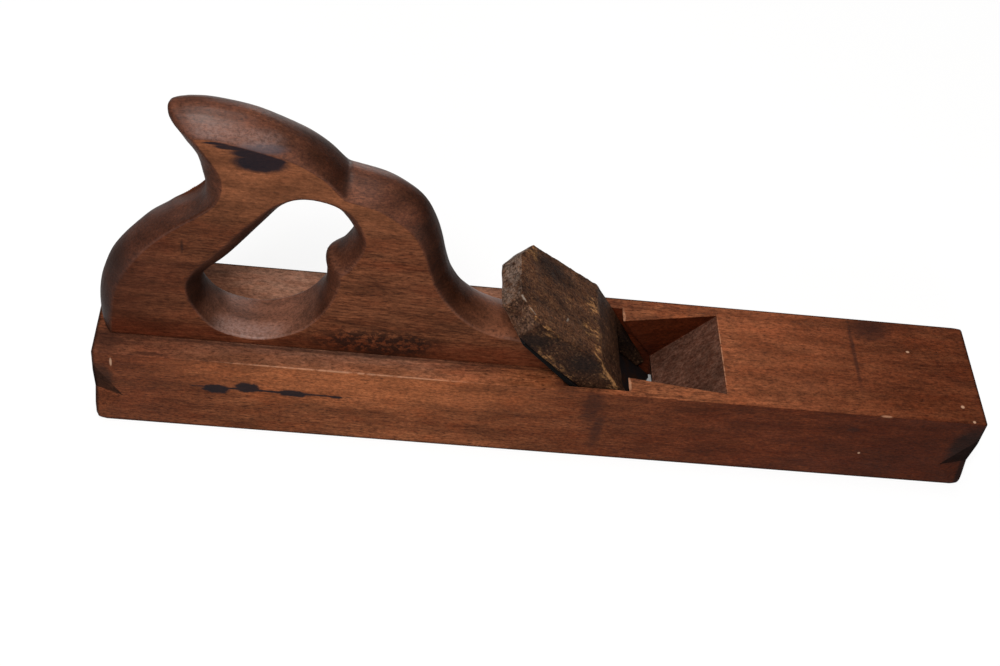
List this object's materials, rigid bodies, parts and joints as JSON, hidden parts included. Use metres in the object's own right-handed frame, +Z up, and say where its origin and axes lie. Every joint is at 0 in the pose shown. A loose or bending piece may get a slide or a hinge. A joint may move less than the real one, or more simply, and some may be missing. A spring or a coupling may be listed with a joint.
{
  "type": "wooden moulding plane",
  "caption": "Wooden plane with a long low stock, an open throat, an iron held by a leaning wedge, and a closed tote with a hand hole.",
  "frame": {"origin": "on the floor under the middle of the stock, between its flat sole margins", "axes": "+X from the heel to the toe, +Y to the left hand side of the plane, +Z up"},
  "size_m": [0.4084, 0.06, 0.1723],
  "materials": {
    "stock_wood": "old red-brown hardwood, oiled and handled",
    "tote_wood": "old red-brown hardwood, polished by the hand",
    "wedge_wood": "dark, chipped and dirty hardwood",
    "iron_steel": "dull dark tool steel"
  },
  "bodies": {
    "plane": {"stock": "stock_wood", "tote": "tote_wood"},
    "wedge": {"wedge": "wedge_wood"},
    "iron": {"iron": "iron_steel"}
  },
  "joints": [
    {"name": "wedge_slide", "type": "slide", "parent": "plane", "child": "wedge", "axis": [-0.7193, 0, 0.6947], "range_m": [0, 0.03]},
    {"name": "iron_slide", "type": "slide", "parent": "plane", "child": "iron", "axis": [-0.7193, 0, 0.6947], "range_m": [0, 0.03]}
  ]
}
